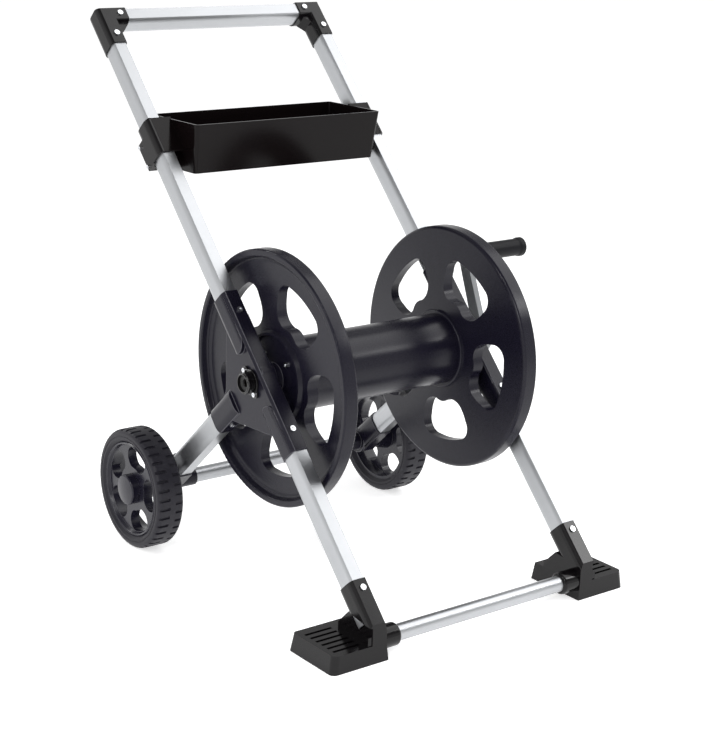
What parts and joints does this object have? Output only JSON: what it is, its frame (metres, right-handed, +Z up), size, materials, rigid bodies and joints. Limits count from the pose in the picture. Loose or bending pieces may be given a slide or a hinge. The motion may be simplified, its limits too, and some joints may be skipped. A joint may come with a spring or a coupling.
{
  "type": "garden hose reel cart",
  "caption": "Two-wheeled garden hose reel cart with a leaning aluminium frame, a tray under the handle bar and a crank-driven reel between large windowed flanges.",
  "frame": {"origin": "on the ground under the middle of the whole cart's box, crank grip included", "axes": "+Z up, +X towards the crank side, +Y from the feet towards the wheels and the handle bar"},
  "size_m": [0.6558, 0.7888, 0.8572],
  "materials": {
    "anodised_aluminium": "satin anodised extrusion",
    "charcoal_plastic": "satin moulded polypropylene",
    "gloss_black_plastic": "polished moulded plastic",
    "wheel_rubber": "matte moulded tread",
    "zinc_steel": "bright zinc plate",
    "grey_steel": "satin grey paint",
    "bearing_plastic": "natural acetal",
    "brass": "drawn tube",
    "washer_rubber": "soft matte rubber"
  },
  "bodies": {
    "frame": {"left_upper_rail": "anodised_aluminium", "left_lower_rail": "anodised_aluminium", "left_rear_leg": "anodised_aluminium", "right_upper_rail": "anodised_aluminium", "right_lower_rail": "anodised_aluminium", "right_rear_leg": "anodised_aluminium", "handle_bar": "anodised_aluminium", "front_crossbar": "anodised_aluminium", "axle_tube": "anodised_aluminium", "axle_rod": "zinc_steel", "left_corner": "gloss_black_plastic", "right_corner": "gloss_black_plastic", "left_side_bracket": "charcoal_plastic", "right_side_bracket": "charcoal_plastic", "left_axle_bracket": "charcoal_plastic", "right_axle_bracket": "charcoal_plastic", "left_foot": "gloss_black_plastic", "right_foot": "gloss_black_plastic", "tray": "gloss_black_plastic", "left_tray_clamp": "gloss_black_plastic", "right_tray_clamp": "gloss_black_plastic", "left_bushing": "bearing_plastic", "right_bushing": "bearing_plastic", "inlet_housing": "charcoal_plastic", "left_axle_washer": "zinc_steel", "right_axle_washer": "zinc_steel", "left_push_nut": "zinc_steel", "right_push_nut": "zinc_steel", "corner_screws": "zinc_steel", "foot_screws": "zinc_steel", "bracket_screws": "zinc_steel", "tray_clamp_screws": "zinc_steel", "inlet_screws": "zinc_steel"},
    "reel": {"drum": "charcoal_plastic", "left_flange": "charcoal_plastic", "right_flange": "charcoal_plastic", "left_hub_plate": "charcoal_plastic", "right_hub_plate": "charcoal_plastic", "water_tube": "brass", "hose_outlet": "charcoal_plastic", "flange_screws": "zinc_steel", "crank_arm": "grey_steel", "crank_screw": "zinc_steel", "grip_pin": "zinc_steel"},
    "grip": {"grip": "charcoal_plastic", "grip_cap": "charcoal_plastic"},
    "left_wheel": {"left_tyre": "wheel_rubber", "left_wheel_rim": "charcoal_plastic", "left_hub_cap": "charcoal_plastic", "left_wheel_bushing": "bearing_plastic"},
    "right_wheel": {"right_tyre": "wheel_rubber", "right_wheel_rim": "charcoal_plastic", "right_hub_cap": "charcoal_plastic", "right_wheel_bushing": "bearing_plastic"},
    "inlet_swivel": {"inlet_nut": "charcoal_plastic", "inlet_washer": "washer_rubber"}
  },
  "joints": [
    {"name": "reel_spin", "type": "hinge", "parent": "frame", "child": "reel", "pos_m": [-0.04215, -0.07802, 0.3384], "axis": [1, 0, 0], "continuous": true},
    {"name": "grip_spin", "type": "hinge", "parent": "reel", "child": "grip", "pos_m": [0.26985, -0.02511, 0.4734], "axis": [1, 0, 0], "continuous": true},
    {"name": "left_wheel_spin", "type": "hinge", "parent": "frame", "child": "left_wheel", "pos_m": [-0.29515, 0.18658, 0.0993], "axis": [1, 0, 0], "continuous": true},
    {"name": "right_wheel_spin", "type": "hinge", "parent": "frame", "child": "right_wheel", "pos_m": [0.21085, 0.18658, 0.0993], "axis": [1, 0, 0], "continuous": true},
    {"name": "inlet_spin", "type": "hinge", "parent": "frame", "child": "inlet_swivel", "pos_m": [-0.26615, -0.07802, 0.3384], "axis": [1, 0, 0], "continuous": true}
  ]
}
